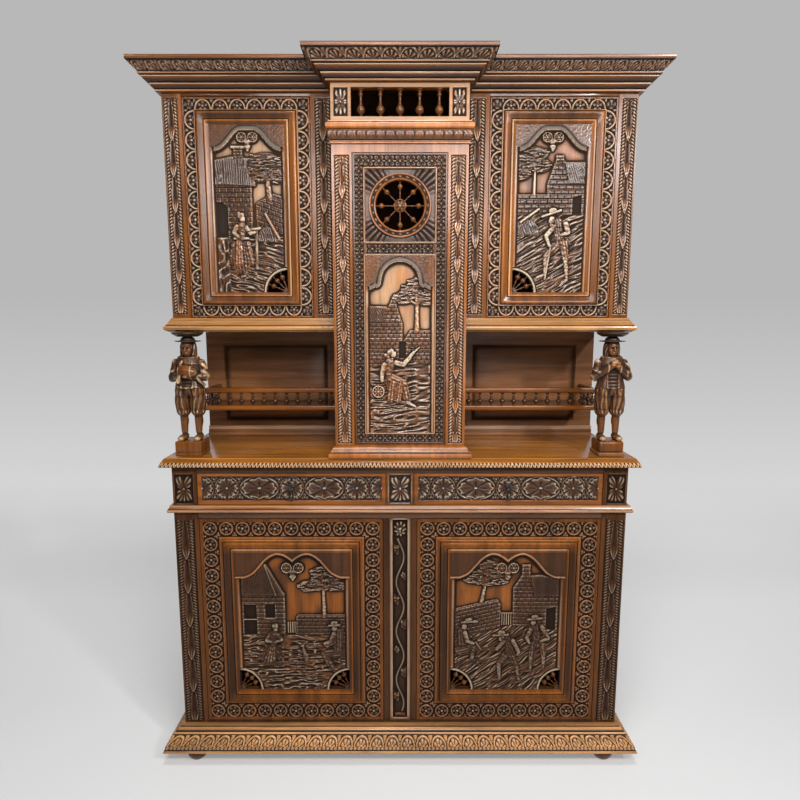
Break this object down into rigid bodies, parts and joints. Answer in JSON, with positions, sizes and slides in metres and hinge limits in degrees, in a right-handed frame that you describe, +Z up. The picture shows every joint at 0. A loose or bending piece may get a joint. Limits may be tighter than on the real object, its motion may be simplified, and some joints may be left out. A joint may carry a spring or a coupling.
{
  "type": "buffet cabinet",
  "caption": "Carved oak two-stage buffet: lower cupboard with drawers, open niche with figures and spindle galleries, upper cupboards beside a centre column with a spoked wheel.",
  "frame": {"origin": "on the floor, under the middle of the bounding box", "axes": "+X to the right as seen from the front, +Y to the back, +Z up"},
  "size_m": [1.541, 0.4606, 2.155],
  "materials": {
    "oak": "satin",
    "honey_oak": "satin",
    "dark_oak": "satin",
    "inner_oak": "matte",
    "iron": "satin"
  },
  "bodies": {
    "carcass": {"foot_front_left": "dark_oak", "foot_front_right": "dark_oak", "foot_rear_left": "dark_oak", "foot_rear_right": "dark_oak", "plinth_moulding": "oak", "base_board": "oak", "lower_corner_post_left": "oak", "lower_corner_post_right": "oak", "lower_side_left": "oak", "lower_side_right": "oak", "lower_centre_stile": "oak", "drawer_frame": "oak", "upper_ledge_left": "oak", "upper_ledge_right": "oak", "upper_outer_stile_left": "oak", "upper_outer_stile_right": "oak", "upper_side_left": "oak", "upper_side_right": "oak", "cornice": "oak", "column_side_left": "oak", "column_side_right": "oak", "column_face_frame": "oak", "spindle_frieze": "oak", "gallery_left": "oak", "gallery_right": "oak", "lower_back": "inner_oak", "lower_shelf": "inner_oak", "upper_shelf_left": "inner_oak", "upper_shelf_right": "inner_oak", "table_top": "honey_oak", "upper_back": "dark_oak", "figure_left": "dark_oak", "figure_right": "dark_oak", "lower_door_left_pin_bottom": "iron", "lower_door_left_pin_top": "iron", "lower_door_right_pin_bottom": "iron", "lower_door_right_pin_top": "iron", "upper_door_left_pin_bottom": "iron", "upper_door_left_pin_top": "iron", "upper_door_right_pin_bottom": "iron", "upper_door_right_pin_top": "iron", "centre_door_pin_bottom": "iron", "centre_door_pin_top": "iron"},
    "lower_door_left": {"lower_door_left_frame": "oak", "lower_door_left_panel": "dark_oak"},
    "lower_door_right": {"lower_door_right_frame": "oak", "lower_door_right_panel": "dark_oak"},
    "upper_door_left": {"upper_door_left_frame": "oak", "upper_door_left_panel": "dark_oak"},
    "upper_door_right": {"upper_door_right_frame": "oak", "upper_door_right_panel": "dark_oak"},
    "centre_door": {"centre_door_frame": "oak", "centre_door_panel": "dark_oak", "centre_door_wheel": "oak"},
    "drawer_left": {"drawer_left": "oak", "drawer_left_pull_plate": "iron"},
    "drawer_left_pull": {"drawer_left_pull_drop": "iron"},
    "drawer_right": {"drawer_right": "oak", "drawer_right_pull_plate": "iron"},
    "drawer_right_pull": {"drawer_right_pull_drop": "iron"}
  },
  "joints": [
    {"name": "lower_door_left_hinge", "type": "hinge", "parent": "carcass", "child": "lower_door_left", "pos_m": [-0.611, -0.15375, 0.469], "axis": [0, 0, -1], "range_deg": [0, 105]},
    {"name": "lower_door_right_hinge", "type": "hinge", "parent": "carcass", "child": "lower_door_right", "pos_m": [0.611, -0.15375, 0.469], "axis": [0, 0, 1], "range_deg": [0, 105]},
    {"name": "upper_door_left_hinge", "type": "hinge", "parent": "carcass", "child": "upper_door_left", "pos_m": [-0.629, -0.08075, 1.7485], "axis": [0, 0, -1], "range_deg": [0, 105]},
    {"name": "upper_door_right_hinge", "type": "hinge", "parent": "carcass", "child": "upper_door_right", "pos_m": [0.629, -0.08075, 1.7485], "axis": [0, 0, 1], "range_deg": [0, 105]},
    {"name": "centre_door_hinge", "type": "hinge", "parent": "carcass", "child": "centre_door", "pos_m": [-0.124, -0.15375, 1.469], "axis": [0, 0, -1], "range_deg": [0, 100]},
    {"name": "drawer_left_slide", "type": "slide", "parent": "carcass", "child": "drawer_left", "axis": [0, -1, 0], "range_m": [0, 0.22]},
    {"name": "drawer_right_slide", "type": "slide", "parent": "carcass", "child": "drawer_right", "axis": [0, -1, 0], "range_m": [0, 0.22]},
    {"name": "drawer_left_pull_swing", "type": "hinge", "parent": "drawer_left", "child": "drawer_left_pull", "pos_m": [-0.3335, -0.17025, 0.9195], "axis": [-1, 0, 0], "range_deg": [0, 75]},
    {"name": "drawer_right_pull_swing", "type": "hinge", "parent": "drawer_right", "child": "drawer_right_pull", "pos_m": [0.3335, -0.17025, 0.9195], "axis": [-1, 0, 0], "range_deg": [0, 75]}
  ]
}
